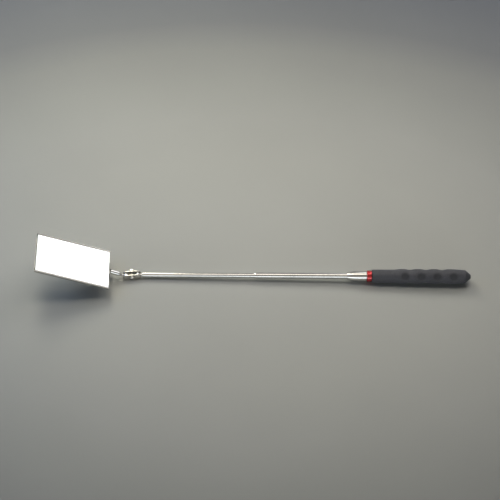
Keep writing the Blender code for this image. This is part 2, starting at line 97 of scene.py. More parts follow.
shaft_ball = joint_point("shaft_ball_swing")
mirror_ball = joint_point("mirror_ball_swing")
CLAMP_FRAME = working_frame(shaft_ball, mirror_ball - shaft_ball, joint_axis("shaft_ball_swing"))
CLAMP_ACROSS = CLAMP_FRAME @ Matrix.Rotation(math.pi / 2, 4, "Z")       # local X out of the front plate
SHAFT_STUD_FRAME = on_axis(shaft_ball.x)
stem_axis = joint_axis("stem_twist")
STEM_FRAME = working_frame(mirror_ball, stem_axis, Vector((0, 0, 1)).cross(stem_axis))

# Handle, as in the CAD
GRIP_LENGTH = box_size("grip").x
GRIP_FRONT_RADIUS = 7.85 * MM
GRIP_CREST_RADIUS = 8.7 * MM
GRIP_FRONT_LENGTH = 25.0 * MM
GRIP_SWELL_LENGTH = 9.5 * MM
GRIP_WAIST_AT = 92.0 * MM
GRIP_SHOULDER_RADIUS = 7.9 * MM
GRIP_TIP_LENGTH = 6.6 * MM
GRIP_SHOULDER_AT = GRIP_LENGTH - GRIP_TIP_LENGTH
GRIP_BUTT_RADIUS = 2.4 * MM
GRIP_STEP = 0.42 * MM             # spacing of the grip's rings
HOLLOW_PITCH = 18.8 * MM
HOLLOW_DEPTH = 1.0 * MM
HOLLOW_HALF_LENGTH = 7.4 * MM
HOLLOW_HALF_WIDTH = math.radians(44)
# rows: angle round the grip from +Y towards +Z, first hollow's place, how many
HOLLOW_ROWS = (
    (math.radians(130), 38.5 * MM, 4),
    (math.radians(40), 44.5 * MM, 3),
    (math.radians(310), 38.5 * MM, 4),
    (math.radians(220), 44.5 * MM, 3),
)
BORE = 4.6 * MM                   # through the ferrule, ring and grip, for the outer tube
FERRULE_CONE = 8.2 * MM
FERRULE_NOSE_RADIUS = 4.5 * MM
FERRULE_SEAT = 2.4 * MM           # where the ferrule's bore steps out to take the outer tube

# Tubes, as in the CAD
MID_WALL = 0.32 * MM
INNER_WALL = 0.35 * MM
SWAGE = 2.2 * MM                  # length over which a tube's mouth is drawn in

# Clamp, as in the CAD
BALL_SPACING = (mirror_ball - shaft_ball).length
BALL_RADIUS = 2.9 * MM
NECK_RADIUS = 1.3 * MM
PLATE_GAP_HALF = 2.4 * MM
PLATE_THICKNESS = 1.0 * MM
PLATE_END_RADIUS = 4.0 * MM
PLATE_EDGE = 0.25 * MM            # rounding of the rim
POCKET_RADIUS = BALL_RADIUS + GAP
DIMPLE_RADIUS = POCKET_RADIUS + 0.9 * MM
SCREW_RADIUS = 1.45 * MM
SCREW_HOLE_RADIUS = SCREW_RADIUS + 0.2 * MM
SCREW_HEAD_RADIUS = 2.7 * MM
SCREW_HEAD_HEIGHT = 2.2 * MM
SCREW_RIM = 0.45 * MM             # straight side of the head, below its dome
SLOT_HALF_WIDTH = 0.35 * MM
SLOT_DEPTH = 1.0 * MM
SLOT_TURN = math.radians(9)
THREAD_PITCH = 0.64 * MM
THREAD_DEPTH = 0.28 * MM
WASHER_RADIUS = 2.9 * MM
WASHER_THICKNESS = 0.7 * MM
NUT_ACROSS_FLATS = 6.4 * MM
NUT_HEIGHT = 1.8 * MM
SCREW_TIP = 0.4 * MM
UNDER_HEAD = PLATE_GAP_HALF + PLATE_THICKNESS + GAP     # places along the screw's axis
WASHER_FACE = -UNDER_HEAD
NUT_FACE = WASHER_FACE - WASHER_THICKNESS - GAP

# Mirror head, as in the CAD
STEM_RADIUS = 2.85 * MM
STEM_TAPER_RADIUS = 1.7 * MM
STEM_START = 6.3 * MM             # from the mirror ball's centre
STEM_FULL = 9.6 * MM
STEM_BEND_AT = 21.0 * MM          # where the flat tongue turns away from the rod's axis
STEM_ROUND_TO = -1.6 * MM         # end of the round rod and start of the tongue, from the bend
TONGUE_FROM = -0.1 * MM
TONGUE_BEND = math.radians(1.7)
TONGUE_HALF_WIDTH = 3.2 * MM
TONGUE_TOP = -0.5 * MM            # heights in the mirror head are above the rod's axis
TONGUE_THICKNESS = 1.2 * MM
TONGUE_LENGTH = 24.0 * MM
SHEET = 0.4 * MM
TRAY_BACK = -0.25 * MM
FIT = 0.25 * MM
PAD_THICKNESS = 0.3 * MM
GLASS_THICKNESS = 1.6 * MM
GLASS_LENGTH = 88.0 * MM
GLASS_HALF_WIDTH = 27.55 * MM
GLASS_START = 1.1 * MM
GLASS_END = GLASS_START + GLASS_LENGTH
GLASS_BOTTOM = TRAY_BACK + SHEET + FIT + PAD_THICKNESS + FIT
GLASS_TOP = GLASS_BOTTOM + GLASS_THICKNESS
LIP_EDGE = 26.75 * MM             # from the middle line to the free edge of the fold
LIP_RISE = 0.3 * MM               # how much higher the fold's outer side stands than its edge
END_TAB_WIDTH = 14.0 * MM
END_TAB_OUT = 17.0 * MM
BRACKET_LENGTH = 18.0 * MM
BRACKET_SHEET = 0.8 * MM
BRACKET_FLANGE = 5.4 * MM
BRACKET_MIDDLE = TONGUE_LENGTH / 2 + 2 * MM
BRACKET_REACH = TONGUE_HALF_WIDTH + GAP + BRACKET_SHEET + BRACKET_FLANGE
RIVET_RADIUS = 1.0 * MM
RIVET_HOLE_RADIUS = RIVET_RADIUS + 0.1 * MM
RIVET_HEAD_RADIUS = 1.8 * MM
RIVET_HEAD_HEIGHT = 0.8 * MM
RIVET_SPACING = 10.0 * MM
PLATE_FRAME = STEM_FRAME @ Matrix.Translation((STEM_BEND_AT, 0, 0)) @ Matrix.Rotation(TONGUE_BEND, 4, "Y")


# ---- mesh tools

def new_object(name, data):
    obj = bpy.data.objects.new(name, data)
    bpy.context.scene.collection.objects.link(obj)
    return obj


def placed_object(name, builder, place):
    """A scene object from a bmesh in a working frame, which uses the bmesh up."""
    bmesh.ops.recalc_face_normals(builder, faces=builder.faces)
    mesh = bpy.data.meshes.new(name)
    builder.to_mesh(mesh)
    builder.free()
    mesh.transform(place)
    return new_object(name, mesh)


def finish_piece(name, builder, place, material, body, nodes, sharp=32.0, smooth=True):
    """Turns a bmesh in a working frame into a named piece that rides on a body."""
    obj = placed_object(name, builder, place)
    if smooth:
        obj.data.shade_smooth()
        obj.data.set_sharp_from_angle(angle=math.radians(sharp))
    for one in material if isinstance(material, list) else [material]:
        obj.data.materials.append(one)
    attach(obj, body)
    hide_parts(*nodes)


def carve(builder, *steps):
    """A bmesh after exact Booleans; each step is (operation, other bmesh, its frame)."""
    base = placed_object("scratch", builder, Matrix())
    others = []
    for operation, other, other_place in steps:
        others.append(placed_object("scratch", other, other_place))
        modifier = base.modifiers.new(operation, "BOOLEAN")
        modifier.operation = operation
        modifier.solver = "EXACT"
        modifier.object = others[-1]
    graph = bpy.context.evaluated_depsgraph_get()
    result = bmesh.new()
    result.from_mesh(base.evaluated_get(graph).to_mesh())
    for obj in [base, *others]:
        mesh = obj.data
        bpy.data.objects.remove(obj, do_unlink=True)
        bpy.data.meshes.remove(mesh)
    bmesh.ops.remove_doubles(result, verts=result.verts, dist=1e-7)
    return result


def bridge(builder, ring_a, ring_b):
    """Faces between two closed rings of vertices; a ring of one vertex is a pole."""
    count = max(len(ring_a), len(ring_b))
    for k in range(count):
        n = (k + 1) % count
        corners = [ring_a[0]] if len(ring_a) == 1 else [ring_a[k], ring_a[n]]
        corners += [ring_b[0]] if len(ring_b) == 1 else [ring_b[n], ring_b[k]]
        builder.faces.new(corners)


def skin(builder, rings, capped=False):
    """Faces from each ring to the next and, if capped, over the first and last."""
    for ring_a, ring_b in zip(rings, rings[1:]):
        bridge(builder, ring_a, ring_b)
    for ring in (rings[0], rings[-1]) if capped else ():
        builder.faces.new(ring)


def rounded(corners, closed=False, step=math.radians(15)):
    """Points of an outline whose corners (u, v, radius) are rounded with arcs of that radius."""
    points = []
    count = len(corners)
    for k, (u, v, radius) in enumerate(corners):
        here = Vector((u, v))
        is_end = not closed and k in (0, count - 1)
        if radius <= 0 or is_end:
            points.append(here)
            continue
        before = Vector(corners[k - 1][:2]) - here
        after = Vector(corners[(k + 1) % count][:2]) - here
        turn = math.pi - before.angle(after)
        reach = min(radius * math.tan(turn / 2), before.length * 0.49, after.length * 0.49)
        true_radius = reach / math.tan(turn / 2)
        middle = before.normalized() + after.normalized()
        centre = here + middle.normalized() * math.hypot(reach, true_radius)
        first = here + before.normalized() * reach - centre
        last = here + after.normalized() * reach - centre
        steps = max(2, round(turn / step))
        whole = first.angle_signed(last)
        points += [centre + Matrix.Rotation(-whole * s / steps, 2) @ first for s in range(steps + 1)]
    return [(p.x, p.y) for p in points]


def spaced(points, longest):
    """The same outline with extra points, so that no step along it is longer than that."""
    dense = [points[0]]
    for (u0, v0), (u1, v1) in zip(points, points[1:]):
        pieces = max(1, math.ceil(math.hypot(u1 - u0, v1 - v0) / longest))
        dense += [(u0 + (u1 - u0) * k / pieces, v0 + (v1 - v0) * k / pieces) for k in range(1, pieces + 1)]
    return dense


def lathe(outline, sides=96, bored=False, shape=None):
    """Solid of revolution about local X from (x, radius) points, as a bmesh; radius 0 is a pole."""
    builder = bmesh.new()
    rings = []
    for x, radius in outline:
        if radius <= 1e-9:
            rings.append([builder.verts.new((x, 0, 0))])
            continue
        ring = []
        for k in range(sides):
            angle = math.tau * k / sides
            r = shape(x, angle, radius) if shape else radius
            ring.append(builder.verts.new((x, r * math.cos(angle), r * math.sin(angle))))
        rings.append(ring)
    skin(builder, rings + rings[:1] if bored else rings)
    return builder


def dome_points(low, high, radius, steps):
    """Outline of a dome from (low, radius) towards its top at (high, 0), which is left out."""
    angles = [math.pi / 2 * k / steps for k in range(steps)]
    return [(low + (high - low) * math.sin(a), radius * math.cos(a)) for a in angles]


def arc(centre, radius, start, stop, steps):
    """Points of an arc about (centre, 0), angles measured from +X."""
    angles = [start + (stop - start) * k / steps for k in range(steps + 1)]
    return [(centre + radius * math.cos(a), abs(radius * math.sin(a))) for a in angles]


def prism(outline, low, high, axes):
    """Prism over a closed outline; axes says where its two outline axes and its length axis go."""
    builder = bmesh.new()
    order = [axes.index(letter) for letter in "xyz"]
    rings = [[builder.verts.new([(u, v, depth)[k] for k in order]) for u, v in outline]
             for depth in (low, high)]
    skin(builder, rings, capped=True)
    return builder


def thickened(path, thickness):
    """Closed outline of a bent sheet whose middle line is path."""
    sides = ([], [])
    for k, point in enumerate(path):
        before = Vector(path[max(0, k - 1)])
        after = Vector(path[min(len(path) - 1, k + 1)])
        along = (after - before).normalized()
        out = Vector((-along.y, along.x)) * thickness / 2
        for side, sign in zip(sides, (1, -1)):
            side.append(tuple(Vector(point) + out * sign))
    return sides[0] + sides[1][::-1]


def ease(t):
    """Smooth step from 0 to 1."""
    t = min(1.0, max(0.0, t))
    return t * t * (3 - 2 * t)


# ---- materials

def new_node(tree, kind, inputs, **settings):
    """A shader node; inputs maps socket names or numbers to values or to sockets to link."""
    node = tree.nodes.new(kind)
    for key, value in settings.items():
        setattr(node, key, value)
    for key, value in inputs.items():
        if isinstance(value, bpy.types.NodeSocket):
            tree.links.new(value, node.inputs[key])
        else:
            node.inputs[key].default_value = value
    return node


def fill_ramp(node, stops):
    """Sets a colour ramp's stops, each (place, grey or colour)."""
    elements = node.color_ramp.elements
    while len(elements) < len(stops):
        elements.new(0.5)
    for element, (place, colour) in zip(elements, stops):
        element.position = place
        element.color = (*colour, 1.0) if isinstance(colour, tuple) else (colour,) * 3 + (1.0,)


class Finish:
    """A Principled material with a few helpers for procedural detail in a working frame."""

    def __init__(self, name, place=None, **values):
        self.material = bpy.data.materials.new(name)
        self.material.use_nodes = True
        self.tree = self.material.node_tree
        self.shader = self.tree.nodes["Principled BSDF"]
        for key, value in values.items():
            self.shader.inputs[key.replace("_", " ").title().replace("Ior", "IOR")].default_value = value
        coordinates = self.tree.nodes.new("ShaderNodeTexCoord")
        self.position = coordinates.outputs["Object"]
        if place is not None:
            local = self.tree.nodes.new("ShaderNodeMapping")
            inverse = place.inverted()
            local.inputs["Location"].default_value = inverse.to_translation()
            local.inputs["Rotation"].default_value = inverse.to_euler()
            self.tree.links.new(self.position, local.inputs["Vector"])
            self.position = local.outputs["Vector"]

    def node(self, kind, inputs, **settings):
        return new_node(self.tree, kind, inputs, **settings)

    def noise(self, grain, detail=3.0, roughness=0.5, distortion=0.0):
        """Noise whose grain is one size, or (x, y, z) sizes, in mm."""
        sizes = grain if isinstance(grain, tuple) else (grain,) * 3
        scaled = self.node("ShaderNodeMapping", {"Vector": self.position,
                                                 "Scale": tuple(1 / (size * MM) for size in sizes)})
        made = self.node("ShaderNodeTexNoise", {
            "Vector": scaled.outputs["Vector"], "Scale": 1.0, "Detail": detail,
            "Roughness": roughness, "Distortion": distortion})
        return made.outputs["Fac"]

    def cells(self, grain, feature="F1"):
        """Rounded cells of about grain mm, 0 at their middles."""
        made = self.node("ShaderNodeTexVoronoi", {"Vector": self.position, "Scale": 1 / (grain * MM)},
                         feature=feature)
        return made.outputs["Distance"]

    def ramp(self, value, *stops):
        """Value to colour or grey by (place, grey or colour) stops."""
        made = self.node("ShaderNodeValToRGB", {"Fac": value})
        fill_ramp(made, stops)
        return made.outputs["Color"]

    def times(self, first, second):
        """Product of two colours; 6, 7 and 2 are the mix node's colour sockets."""
        inputs = {0: 1.0, 6: first, 7: second}
        return self.node("ShaderNodeMix", inputs, data_type="RGBA", blend_type="MULTIPLY").outputs[2]

    def difference(self, first, second):
        return self.node("ShaderNodeMath", {0: first, 1: second}, operation="SUBTRACT").outputs[0]

    def colour(self, value, *stops):
        self.put("Base Color", self.ramp(value, *stops))

    def rough(self, value, *stops):
        self.put("Roughness", self.ramp(value, *stops))

    def put(self, name, socket):
        self.tree.links.new(socket, self.shader.inputs[name])
        return self

    def bump(self, *layers):
        """Stacked bumps, each (height socket, height in mm)."""
        normal = None
        for height, distance in layers:
            inputs = {"Height": height, "Distance": distance * MM, "Strength": 1.0}
            if normal is not None:
                inputs["Normal"] = normal
            normal = self.node("ShaderNodeBump", inputs).outputs["Normal"]
        return self.put("Normal", normal)


def grip_rubber():
    """Matte black rubber with a fine pebbled grain, with painted shade in its finger hollows and painted
    light on the rubber outside them.
    """
    finish = Finish("grip rubber", GRIP_FRAME, roughness=0.62, specular_ior_level=0.42,
                    sheen_weight=0.22, sheen_roughness=0.5, sheen_tint=(0.72, 0.76, 0.9, 1.0))
    patches = finish.noise(14, detail=4.0)
    speckle = finish.noise(0.5, detail=2.0)
    base = finish.ramp(patches, (0.3, (0.052, 0.052, 0.060)), (0.7, (0.068, 0.068, 0.078)))
    base = finish.times(base, finish.ramp(speckle, (0.35, 0.72), (0.7, 1.25)))

    # how far the surface lies under the grip's plain turned form, see grip_radius()
    along = finish.node("ShaderNodeSeparateXYZ", {"Vector": finish.position}).outputs["X"]
    across = finish.node("ShaderNodeVectorMath", {0: finish.position, 1: (0, 1, 1)}, operation="MULTIPLY")
    radius = finish.node("ShaderNodeVectorMath", {0: across.outputs[0]}, operation="LENGTH")

    def eased(start, stop, low, high):
        made = finish.node("ShaderNodeMapRange", {0: along, 1: start, 2: stop, 3: low, 4: high},
                           interpolation_type="SMOOTHSTEP")
        return made.outputs[0]

    crest_at = GRIP_FRONT_LENGTH + GRIP_SWELL_LENGTH
    swell = eased(GRIP_FRONT_LENGTH, crest_at, GRIP_FRONT_RADIUS, GRIP_CREST_RADIUS)
    draw_in = eased(GRIP_WAIST_AT, GRIP_SHOULDER_AT, 0.0, GRIP_CREST_RADIUS - GRIP_SHOULDER_RADIUS)
    depth = finish.difference(finish.difference(swell, draw_in), radius.outputs["Value"])
    # painted shade and light: the deeper the surface lies in a hollow, the darker its colour, and outside
    # the hollows it is painted lighter
    pressed = finish.node("ShaderNodeMapRange", {0: depth, 1: 0.0, 2: HOLLOW_DEPTH}).outputs[0]
    finish.put("Base Color", finish.times(base, finish.ramp(pressed, (0.04, 1.14), (0.5, 0.60))))
    finish.rough(finish.noise(3), (0.3, 0.56), (0.7, 0.7))
    return finish.bump((finish.cells(0.42, "SMOOTH_F1"), 0.07), (speckle, 0.04)).material


def red_gloss():
    """Clear red lacquer over bright metal, with fine turning lines."""
    finish = Finish("red ring", RING_FRAME, roughness=0.17, metallic=1.0, coat_weight=1.0,
                    coat_roughness=0.03, coat_ior=1.6)
    tone = finish.noise(2.5, detail=3.0)
    finish.colour(tone, (0.3, (0.38, 0.006, 0.011)), (0.7, (0.50, 0.010, 0.016)))
    lines = finish.noise((0.09, 3, 3), detail=2.0)
    finish.rough(lines, (0.3, 0.24), (0.7, 0.36))
    return finish.bump((lines, 0.004)).material


def chrome(name, place, lines, tone=(0.66, 0.655, 0.64), shine=(0.05, 0.13), line_height=0.0012):
    """Chrome plate with hazy patches and faint polishing marks, whose grain is lines."""
    finish = Finish(name, place, metallic=1.0)
    polish = finish.noise(lines, detail=3.0, roughness=0.6)
    haze = finish.noise(9, detail=5.0, roughness=0.62, distortion=0.6)
    dark = tuple(0.86 * c for c in tone)
    finish.colour(haze, (0.25, dark), (0.6, tone))
    rough = finish.ramp(haze, (0.3, shine[1]), (0.65, shine[0]))
    streak = finish.ramp(polish, (0.35, 0.75), (0.7, 1.35))
    finish.put("Roughness", finish.times(rough, streak))
    ripple = finish.noise(1.6, detail=2.0)
    return finish.bump((polish, line_height), (ripple, 0.0015)).material


def plated_steel(name, place, lines, tone=(0.50, 0.485, 0.46), shine=(0.2, 0.34)):
    """Bright plated steel with rolling lines, whose grain is lines, and dull warm spots."""
    finish = Finish(name, place, metallic=1.0)
    rolled = finish.noise(lines, detail=4.0, roughness=0.65)
    spots = finish.noise(1.8, detail=4.0, roughness=0.7)
    warm = tuple(c * f for c, f in zip(tone, (1.0, 0.95, 0.86)))
    bright = tuple(min(1, 1.12 * c) for c in tone)
    finish.colour(spots, (0.3, warm), (0.55, tone), (0.75, bright))
    rough = finish.ramp(spots, (0.3, shine[1]), (0.7, shine[0]))
    streak = finish.ramp(rolled, (0.35, 0.8), (0.7, 1.3))
    finish.put("Roughness", finish.times(rough, streak))
    return finish.bump((rolled, 0.003), (spots, 0.004)).material


def bronze(name, tone):
    """Turned brass or rolled bronze, lightly tarnished."""
    finish = Finish(name, GRIP_FRAME, metallic=1.0)
    rings = finish.noise((0.15, 6, 6), detail=3.0)
    tarnish = finish.noise(2.2, detail=5.0, roughness=0.65)
    dull = tuple(c * f for c, f in zip(tone, (0.62, 0.55, 0.5)))
    finish.colour(tarnish, (0.3, dull), (0.6, tone))
    finish.rough(tarnish, (0.3, 0.5), (0.7, 0.27))
    return finish.bump((rings, 0.006)).material


def foam_pad():
    """Dark open-celled foam."""
    finish = Finish("foam pad", PLATE_FRAME, roughness=0.95)
    grain = finish.cells(0.5)
    finish.colour(grain, (0.1, (0.03, 0.03, 0.03)), (0.8, (0.09, 0.09, 0.088)))
    return finish.bump((grain, 0.15)).material


def silvered_glass():
    """The mirror's face: almost perfect reflection, with faint dust and wiping haze."""
    finish = Finish("silvered glass", PLATE_FRAME, metallic=1.0, coat_weight=1.0, coat_roughness=0.0,
                    coat_ior=1.5)
    dust = finish.noise(1.1, detail=6.0, roughness=0.75)
    wipe = finish.noise((30, 5, 5), detail=4.0, roughness=0.6, distortion=0.8)
    clean, dusty = (0.93, 0.945, 0.94), (0.88, 0.89, 0.885)
    finish.colour(dust, (0.55, clean), (0.85, dusty))
    finish.rough(wipe, (0.35, 0.006), (0.8, 0.03))
    return finish.material


def ground_edge():
    """The glass's ground edge, pale green and matte."""
    finish = Finish("ground glass edge", PLATE_FRAME, roughness=0.35, specular_ior_level=0.6,
                    coat_weight=0.3, coat_roughness=0.2)
    grit = finish.noise(0.18, detail=3.0)
    finish.colour(grit, (0.3, (0.13, 0.19, 0.17)), (0.7, (0.30, 0.38, 0.35)))
    return finish.bump((grit, 0.02)).material


def mirror_back_paint():
    """The grey paint that protects the silvering."""
    finish = Finish("mirror back paint", PLATE_FRAME, roughness=0.6)
    mottle = finish.noise(1.5, detail=4.0)
    finish.colour(mottle, (0.3, (0.13, 0.135, 0.14)), (0.7, (0.2, 0.205, 0.21)))
    return finish.bump((mottle, 0.02)).material


# ---- handle

def grip_radius(x):
    """Radius of the grip's plain turned form at x past its front face."""
    swell = ease((x - GRIP_FRONT_LENGTH) / GRIP_SWELL_LENGTH)
    waist = ease((x - GRIP_WAIST_AT) / (GRIP_SHOULDER_AT - GRIP_WAIST_AT))
    radius = GRIP_FRONT_RADIUS + (GRIP_CREST_RADIUS - GRIP_FRONT_RADIUS) * swell
    return radius + (GRIP_SHOULDER_RADIUS - GRIP_CREST_RADIUS) * waist


def finger_hollows(x, angle, radius):
    """The grip's radius with its four staggered rows of oval finger hollows pressed in."""
    if radius < BORE + MM:
        return radius
    depth = 0.0
    for row_angle, first, count in HOLLOW_ROWS:
        around = math.remainder(angle - row_angle, math.tau) / HOLLOW_HALF_WIDTH
        for k in range(count):
            reach = math.hypot((x - first - k * HOLLOW_PITCH) / HOLLOW_HALF_LENGTH, around)
            if reach < 1.0:
                depth += HOLLOW_DEPTH * (0.5 + 0.5 * math.cos(math.pi * reach))
    return radius - depth


def make_grip():
    """Turned form with a blind bore and pressed-in finger hollows."""
    bore_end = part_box("tail_plug")[1].x + 0.9 * MM - GRIP_FRAME.translation.x
    body_from, body_to = 2.0 * MM, GRIP_SHOULDER_AT - 1.2 * MM
    front = rounded([(0.0, BORE, 0), (0.0, GRIP_FRONT_RADIUS, 0.9 * MM),
                     (body_from, GRIP_FRONT_RADIUS, 0)])
    stations = round((body_to - body_from) / GRIP_STEP)
    places = [body_from + (body_to - body_from) * k / stations for k in range(1, stations)]
    body = [(x, grip_radius(x)) for x in places]
    back = rounded([(body_to, grip_radius(body_to), 0), (GRIP_SHOULDER_AT, GRIP_SHOULDER_RADIUS, 2.0 * MM),
                    (GRIP_LENGTH, GRIP_BUTT_RADIUS, 0.9 * MM), (GRIP_LENGTH, 0.0, 0)])
    outline = [(bore_end, 0.0), (bore_end, BORE)] + front + body + spaced(back, 0.8 * MM)
    builder = lathe(outline, sides=144, shape=finger_hollows)
    finish_piece("grip_sleeve", builder, GRIP_FRAME, grip_rubber(), "handle", ["grip"], 40)


def make_ring():
    length, radius, soft = box_size("red_ring").x, box_size("red_ring").z / 2, 0.8 * MM
    outline = rounded([(0, BORE, 0), (0, radius, soft), (length, radius, soft), (length, BORE, 0)])
    finish_piece("ring_red", lathe(outline, bored=True), RING_FRAME, red_gloss(),
                 "handle", ["red_ring"])


def make_ferrule():
    length, radius = box_size("ferrule").x, box_size("ferrule").z / 2
    nose_bore = box_size("mid_tube").z / 2 + GAP
    outline = rounded([
        (0, nose_bore, 0), (0, FERRULE_NOSE_RADIUS, 0.35 * MM), (FERRULE_CONE, radius, 6.0 * MM),
        (length, radius, 0.4 * MM), (length, BORE, 0), (FERRULE_SEAT, BORE, 0),
        (FERRULE_SEAT, nose_bore, 0)], step=math.radians(6))
    polish = chrome("ferrule chrome", FERRULE_FRAME, (0.12, 6, 6))
    finish_piece("ferrule_chromed", lathe(outline, bored=True), FERRULE_FRAME, polish,
                 "handle", ["ferrule"])


# ---- tubes and studs

def make_tube(name, node, place, wall, mouth_radius, body):
    """Tube whose mouth is drawn in a little, towards the mirror end."""
    length, radius = box_size(node).x, box_size(node).z / 2
    bore = radius - wall
    outline = rounded([
        (0, mouth_radius, 0), (0, radius - 0.32 * MM, 0.16 * MM), (SWAGE, radius, 4 * MM),
        (length, radius, 0.1 * MM), (length, bore, 0), (SWAGE, bore, 0), (0.5 * MM, mouth_radius, 0),
    ], step=math.radians(8))
    polish = chrome(f"{name} chrome", place, (14, 0.25, 0.25), line_height=0.0008)
    finish_piece(name, lathe(outline, bored=True), place, polish, body, [node])


def make_stud(name, node, place, neck_to, shoulder_radius, shoulder_to, body):
    """Ball with a waisted neck that runs with a fillet into a shoulder."""
    neck_start = math.asin(NECK_RADIUS / BALL_RADIUS)
    ball = arc(0, BALL_RADIUS, math.pi, neck_start * 1.35, 26)
    foot = ball[-1]
    neck = rounded([(*foot, 0), (BALL_RADIUS * math.cos(neck_start) + 0.15 * MM, NECK_RADIUS, 0.6 * MM),
                    (neck_to, NECK_RADIUS, 0.35 * MM), (neck_to, shoulder_radius, 0.12 * MM),
                    (shoulder_to, shoulder_radius, 0.2 * MM), (shoulder_to, 0, 0)])
    polish = chrome(f"{name} chrome", place, (0.12, 4, 4), shine=(0.06, 0.14))
    finish_piece(name, lathe(ball + neck[1:], sides=72), place, polish, body, [node])


# ---- clamp

def stadium(spacing, radius, steps=24):
    """Outline with round ends about (0, 0) and (spacing, 0)."""
    points = []
    for centre, first in ((spacing, -math.pi / 2), (0.0, math.pi / 2)):
        for k in range(steps + 1):
            angle = first + math.pi * k / steps
            points.append((centre + radius * math.cos(angle), radius * math.sin(angle)))
    return points


def circle(centre_x, radius, count):
    angles = [math.tau * k / count for k in range(count)]
    return [(centre_x + radius * math.cos(a), radius * math.sin(a)) for a in angles]


def raised(level, ball_radius, soft, x, y):
    """Height of a sheet at `level` with a round dimple over each ball, softly joined."""
    height = level
    for centre in (0.0, BALL_SPACING):
        square = ball_radius ** 2 - (x - centre) ** 2 - y ** 2
        dome = math.sqrt(square) if square > 0 else 0.0
        gap = max(soft - abs(height - dome), 0.0) / soft
        height = max(height, dome) + gap * gap * soft / 4
    return height


def plate_triangles():
    """Flat points and triangles of a clamp plate, finer round the dimples and the screw's hole."""
    rim = stadium(BALL_SPACING, PLATE_END_RADIUS - PLATE_EDGE)
    hole = circle(BALL_SPACING / 2, SCREW_HOLE_RADIUS, 40)
    inside = []
    for centre in (0.0, BALL_SPACING):
        inside.append((centre, 0.0))
        for ring in range(1, 15):
            inside += circle(centre, ring * 0.25 * MM, 12 + 3 * ring)
    for ring in (1.25, 1.5, 1.75):
        inside += circle(BALL_SPACING / 2, SCREW_HOLE_RADIUS * ring, 40)
    edges = []
    for first, count in ((0, len(rim)), (len(rim), len(hole))):
        edges += [(first + k, first + (k + 1) % count) for k in range(count)]
    flat, _, triangles, *_ = delaunay_2d_cdt([Vector(p) for p in rim + hole + inside], edges, [], 2, 1e-9)
    return flat, triangles


def boundary_loops(verts):
    """Each closed loop of the boundary among some vertices, in order round it."""
    beside = {}
    for vert in verts:
        for link in vert.link_edges:
            if len(link.link_faces) == 1:
                beside.setdefault(vert, []).append(link.other_vert(vert))
    loops = []
    while beside:
        here = next(iter(beside))
        loop = [here]
        while True:
            following = [v for v in beside.pop(here) if v in beside and v not in loop]
            if not following:
                break
            here = following[0]
            loop.append(here)
        loops.append(loop)
    return loops


def stamped_plate():
    """One clamp plate: its inner side faces local -Z at PLATE_GAP_HALF, dimples pressed outwards."""
    near, far = PLATE_GAP_HALF, PLATE_GAP_HALF + PLATE_THICKNESS
    flat, triangles = plate_triangles()
    builder = bmesh.new()
    top = [builder.verts.new((p.x, p.y, raised(far, DIMPLE_RADIUS, 0.5 * MM, p.x, p.y))) for p in flat]
    bottom = [builder.verts.new((p.x, p.y, raised(near, POCKET_RADIUS, 0.3 * MM, p.x, p.y))) for p in flat]
    for a, b, c in triangles:
        builder.faces.new((top[a], top[b], top[c]))
        builder.faces.new((bottom[c], bottom[b], bottom[a]))
    twin = dict(zip(top, bottom))
    middle = Vector((BALL_SPACING / 2, 0))
    for loop in boundary_loops(top):
        rings = [loop]
        if max((v.co.xy - middle).length for v in loop) > PLATE_END_RADIUS:
            quarter = [math.pi / 2 * k / 3 for k in (1, 2, 3)]
            edge = [(PLATE_EDGE * math.sin(a), PLATE_EDGE * (1 - math.cos(a))) for a in quarter]
            rings += [[edge_vert(builder, v, out, far - down) for v in loop] for out, down in edge]
            rings += [[edge_vert(builder, v, out, near + up) for v in loop] for out, up in reversed(edge)]
        rings.append([twin[v] for v in loop])
        skin(builder, rings)
    return builder


def edge_vert(builder, vert, out, height):
    """A vertex that far outside a rim vertex of a clamp plate, at that height."""
    spine = Vector((min(max(vert.co.x, 0.0), BALL_SPACING), 0.0))
    away = (vert.co.xy - spine).normalized() * out
    return builder.verts.new((vert.co.x + away.x, vert.co.y + away.y, height))


def threaded(low, high):
    """Rod outline and its shape function for a screw thread between two places."""
    steps = round((high - low) / (THREAD_PITCH / 8))
    outline = [(low + (high - low) * k / steps, SCREW_RADIUS) for k in range(steps + 1)]

    def shape(x, angle, radius):
        if not low - 1e-6 <= x <= high + 1e-6 or radius < SCREW_RADIUS * 0.9:
            return radius
        turn = (x / THREAD_PITCH - angle / math.tau) % 1.0
        groove = max(0.0, 1.0 - abs(turn - 0.5) / 0.42)
        return min(radius, SCREW_RADIUS - THREAD_DEPTH * min(1.0, groove * 1.15))
    return outline, shape


def make_plates():
    steel = plated_steel("clamp plate steel", CLAMP_FRAME, (7, 0.16, 0.16),
                         tone=(0.60, 0.585, 0.555), shine=(0.11, 0.19))
    for name, turn in (("front", -math.pi / 2), ("rear", math.pi / 2)):
        place = CLAMP_FRAME @ Matrix.Rotation(turn, 4, "X")      # local Z out of the clamp
        finish_piece(f"plate_{name}_stamped", stamped_plate(), place, steel,
                     "clamp", [f"clamp_plate_{name}"], sharp=40)


